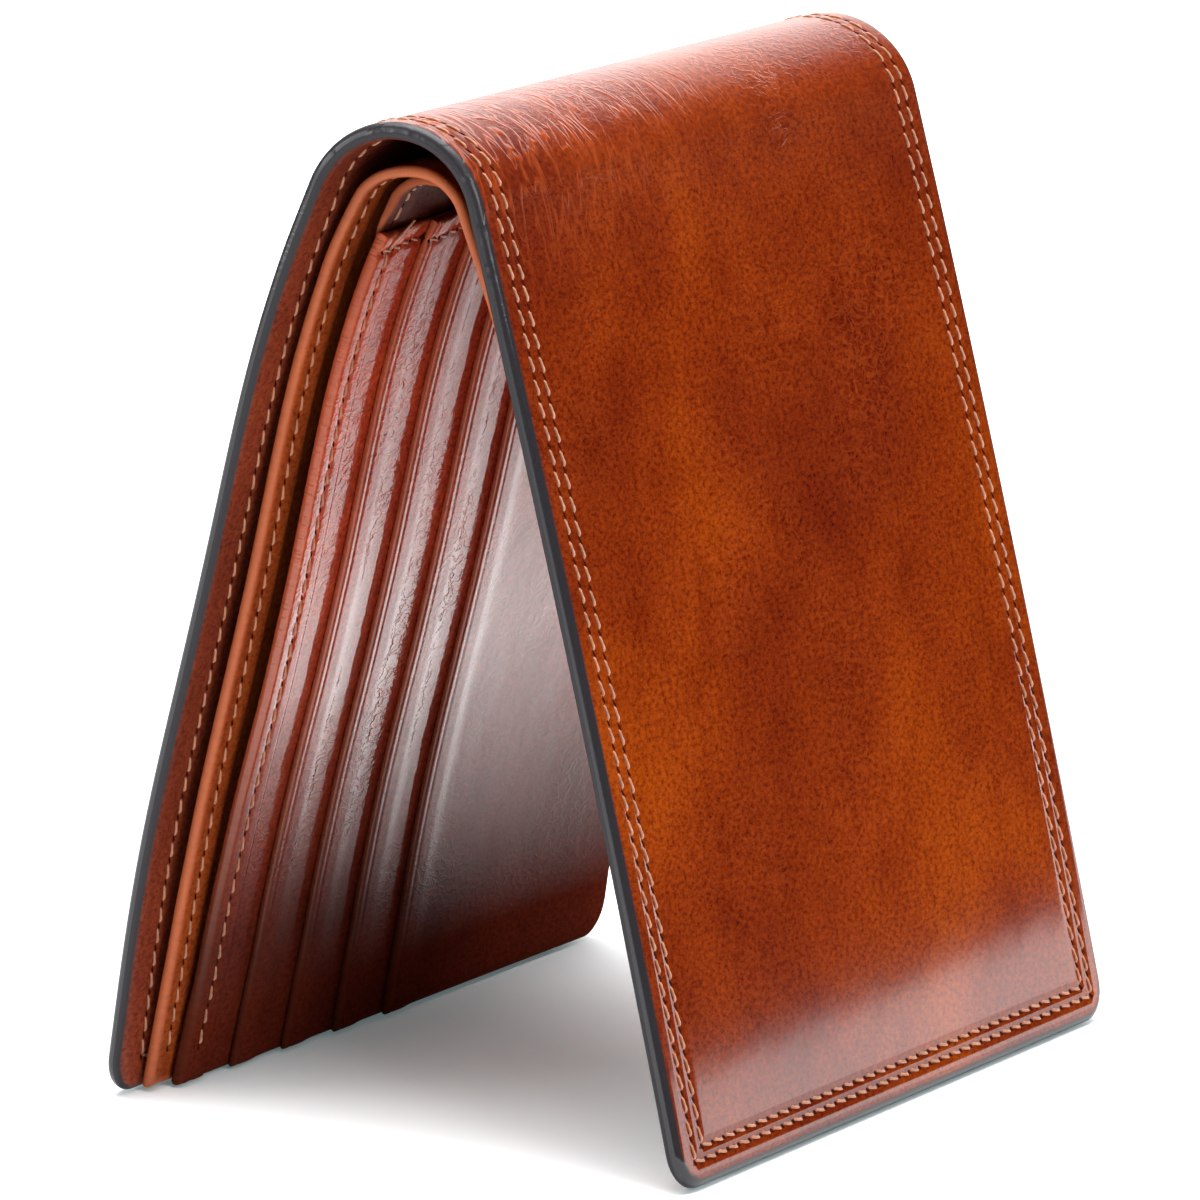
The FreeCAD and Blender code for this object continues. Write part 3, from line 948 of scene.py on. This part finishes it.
def top_of_pockets(side, s, v):
    """Depth of whatever lies on top where the cross row runs."""
    level = panel_faces(side, s, v)[1]
    for number in POCKETS:
        past_slot = v > slot_inset(number) + 0.1
        level = np.where(past_slot, pocket_faces(number)(side, s, v)[1], level)
    return level


def add_edge_rows(side):
    """Two rows around the cover; the inner one shows on the lining too."""
    for row in ROWS:
        runs = around(side, ROWS[row], face_depth(cover_faces, 0), "out")
        if row == "inner":
            runs += around(side, LINING_ROW, face_depth(lining_faces, 1), "in")
        piece = stitches("%s_%s_stitches" % (side, row), runs, SEEDS[row])
        nodes = ["%s_%s_seam" % (side, row), "spine_%s_seam_near" % row, "spine_%s_seam_far" % row]
        finish_piece(piece, side, nodes, COVER_BEND)


def add_hem_rows(side):
    """Rows along the hems of the divider, the inner wall and the pocket panel."""
    last = END[side] - HEM_ROW_END
    panel_line = PANEL_INSET + HEM_ROW
    rows = [
        ("divider", DIVIDER_INSET + HEM_ROW, 0, last, divider_faces,
         [side + "_divider_hem_seam", "spine_divider_hem_seam"], DIVIDER_BEND),
        ("wall", panel_line, 0, STACK_START - 0.6, wall_faces,
         ["spine_inner_wall_hem_seam"], WALL_BEND),
        ("panel", panel_line, SIDE_ROW, last, panel_faces,
         [side + "_panel_hem_seam"], None)]
    for name, line, start, stop, faces, nodes, bend_depths in rows:
        runs = [StitchRun(side, "s", line, start, stop, face_depth(faces, 1), "in")]
        piece = stitches("%s_%s_stitches" % (side, name), runs, SEEDS[name])
        finish_piece(piece, side, nodes, bend_depths)


def add_cross_row(side):
    """Row across the pockets beside the fold."""
    runs = [StitchRun(side, "v", SIDE_ROW, PANEL_INSET + 1.0, WIDTH - 3.4, top_of_pockets, "in")]
    piece = stitches(side + "_cross_stitches", runs, SEEDS["cross"])
    finish_piece(piece, side, [side + "_pocket_side_seam"])


def add_loose_end():
    """The short loose thread end at the near top corner of the left pockets."""
    path = np.array([(19.4, 10.6, 0.05), (18.4, 10.5, 0.35), (17.3, 10.7, 0.75),
                     (16.3, 10.9, 1.05), (15.6, 11.3, 1.15)])
    rings, corners = 17, 6
    steps = np.linspace(0, len(path) - 1, rings)
    s, v, lift = (np.interp(steps, range(len(path)), path[:, k])[:, None] for k in range(3))
    base = panel_faces("left", *path[0, :2])[1]
    angle = np.linspace(0, 2 * math.pi, corners + 1)[:-1]
    thick = 0.19 * np.linspace(1.0, 0.6, rings)[:, None]
    points = place("left", s + 0 * angle, v + thick * np.cos(angle),
                   base + lift + thick * np.sin(angle))
    index = np.arange(rings * corners).reshape(rings, corners)
    closed = np.concatenate([index, index[:, :1]], axis=1)
    faces = Sheet.quads(closed.T, False)
    faces += [index[0, ::-1].tolist(), index[-1].tolist()]
    piece = make_object("left_loose_thread", points.reshape(-1, 3), faces, [THREAD])
    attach(piece, "left_leaf")


for leaf in SIGN:
    add_edge_rows(leaf)
    add_hem_rows(leaf)
    add_cross_row(leaf)
add_loose_end()


# ------------------------------------------------- floor, light and camera
FLOOR_REACH = 6.0
FLOOR_GAP = 0.0002
WORLD_LIGHT = 0.03
LIGHTS = [
    # name, place, target, width, height, watts
    ("overhead", (-0.12, 0.12, 1.2), (-0.05, 0.10, 0), 1.3, 1.3, 44),
    ("backdrop", (-0.72, 1.20, 0.43), (0, 0, 0.08), 1.4, 0.66, 14),
    ("right_side", (1.2, -0.55, 0.8), (0, 0, 0.05), 0.7, 0.7, 11),
    ("front_left", (-1.0, -1.0, 0.35), (0, 0, 0.05), 0.6, 0.6, 9),
    ("low_card", (0.53, 0.93, 0.0145), (0.02, 0, 0.0145), 1.2, 0.028, 0.37)]
CAMERA_PLACE = (0.57661, -1.11222, 0.30503)
CAMERA_WAY = (-0.4536, 0.8684, -0.2004)
CAMERA_ROLL = 0.0456
CAMERA_LENS = 366.7


def floor():
    """Large pale table top, just under the wallet."""
    corners = [(-1, -1, 0), (1, -1, 0), (1, 1, 0), (-1, 1, 0)]
    verts = FLOOR_REACH * np.array(corners)
    n = Nodes("floor_white")
    n.feed_all(n.shader, Base_Color=(0.92, 0.92, 0.92), Roughness=0.75,
               Emission_Color=(0.64, 0.97, 1.0), Emission_Strength=0.13)
    obj = make_object("floor", verts, [(0, 1, 2, 3)], [n.material])
    obj.location.z = -FLOOR_GAP


def area_light(name, position, target, width, height, power):
    """Soft rectangular light aimed at a point."""
    data = bpy.data.lights.new(name, "AREA")
    data.shape = "RECTANGLE"
    data.size = width
    data.size_y = height
    data.energy = power
    light = bpy.data.objects.new(name, data)
    bpy.context.scene.collection.objects.link(light)
    light.location = position
    way = Vector(target) - Vector(position)
    light.rotation_euler = way.to_track_quat("-Z", "Y").to_euler()


def world(level):
    """Faint even light from everywhere."""
    data = bpy.data.worlds.new("studio")
    data.use_nodes = True
    background = data.node_tree.nodes["Background"]
    background.inputs["Color"].default_value = (level, level, level, 1)
    bpy.context.scene.world = data


def camera():
    """Long lens from the front right, slightly above and tilted a little."""
    data = bpy.data.cameras.new("camera")
    data.lens = CAMERA_LENS
    data.sensor_width = 36.0
    data.clip_start, data.clip_end = 0.1, 20
    obj = bpy.data.objects.new("camera", data)
    bpy.context.scene.collection.objects.link(obj)
    forward = Vector(CAMERA_WAY).normalized()
    right = forward.cross(Vector((0, 0, 1))).normalized()
    up = right.cross(forward)
    right_rolled = math.cos(CAMERA_ROLL) * right + math.sin(CAMERA_ROLL) * up
    up_rolled = -math.sin(CAMERA_ROLL) * right + math.cos(CAMERA_ROLL) * up
    facing = Matrix((right_rolled, up_rolled, -forward)).transposed().to_4x4()
    obj.matrix_world = Matrix.Translation(CAMERA_PLACE) @ facing
    bpy.context.scene.camera = obj


floor()
world(WORLD_LIGHT)
for light in LIGHTS:
    area_light(*light)
camera()
bpy.context.scene.view_settings.view_transform = "Standard"
